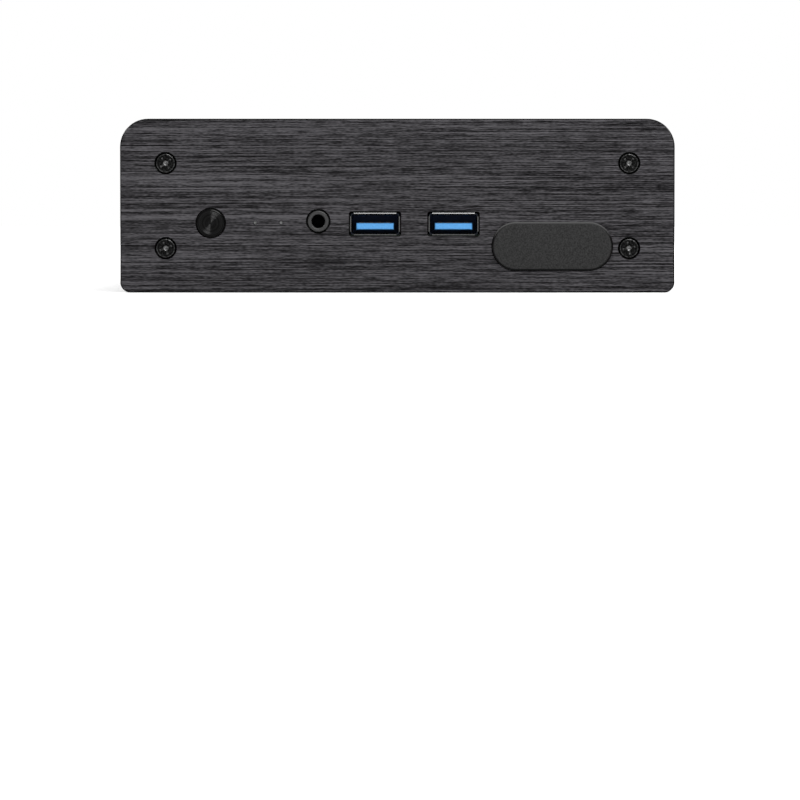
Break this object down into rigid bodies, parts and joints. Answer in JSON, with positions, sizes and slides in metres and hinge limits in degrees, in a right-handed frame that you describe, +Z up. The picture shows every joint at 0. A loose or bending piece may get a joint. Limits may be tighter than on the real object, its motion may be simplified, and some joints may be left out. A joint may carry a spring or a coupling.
{
  "type": "mini pc case",
  "caption": "Fanless case for a small computer: a finned aluminium body between two brushed end plates, with front connectors, a push button and rear port openings.",
  "frame": {"origin": "middle of the case on the surface that it stands on", "axes": "+Z up, -Y out of the front panel, +X to the right of someone facing the front panel"},
  "size_m": [0.15, 0.2047, 0.047],
  "materials": {
    "black_extrusion": "black anodised, fine extrusion grain",
    "black_plate": "black anodised, brushed along the width",
    "black_sheet": "black anodised satin sheet",
    "black_screws": "black oxide",
    "turned_black": "black anodised, turned rings",
    "black_plastic": "moulded black",
    "grey_nose": "grey moulded sleeve",
    "circuit_board": "green solder mask",
    "gold_contacts": "gold flash",
    "brass_posts": "machined brass",
    "zinc_screws": "zinc plated",
    "black_milled": "black anodised, milled",
    "thermal_pad": "soft grey blue",
    "black_steel": "black coated sheet",
    "black_rubber": "moulded matt rubber",
    "clear_lens": "clear moulding",
    "plated_shell": "bright nickel plate",
    "blue_insulator": "blue moulding"
  },
  "bodies": {
    "case": {"antenna_plug_left": "black_rubber", "antenna_plug_right": "black_rubber", "audio_jack_body": "black_plastic", "audio_jack_nose": "grey_nose", "bottom_cover": "black_sheet", "button_switch_body": "black_plastic", "cpu_heat_block": "black_milled", "drive_bracket": "black_steel", "drive_bracket_screws": "zinc_screws", "drive_led": "clear_lens", "drive_led_pipe": "clear_lens", "front_board_posts": "brass_posts", "front_board_screws": "zinc_screws", "front_io_board": "circuit_board", "front_io_header": "black_plastic", "front_io_pins": "gold_contacts", "front_panel": "black_plate", "front_panel_screws": "black_screws", "heat_block_screws": "zinc_screws", "heatsink_body": "black_extrusion", "led_holder": "black_plastic", "main_board_posts": "brass_posts", "power_led": "clear_lens", "power_led_pipe": "clear_lens", "rear_panel": "black_plate", "rear_panel_screws": "black_screws", "serial_port_cover": "black_rubber", "thermal_pad": "thermal_pad", "usb_contacts_left": "gold_contacts", "usb_contacts_right": "gold_contacts", "usb_shell_left": "plated_shell", "usb_shell_right": "plated_shell", "usb_tongue_left": "blue_insulator", "usb_tongue_right": "blue_insulator"},
    "button": {"power_button": "turned_black", "button_plunger": "black_plastic"}
  },
  "joints": [
    {"name": "power_button_press", "type": "slide", "parent": "case", "child": "button", "axis": [0, 1, 0], "range_m": [0, 0.0005], "stiffness_N_per_m": 400, "springref_m": -0.002}
  ]
}
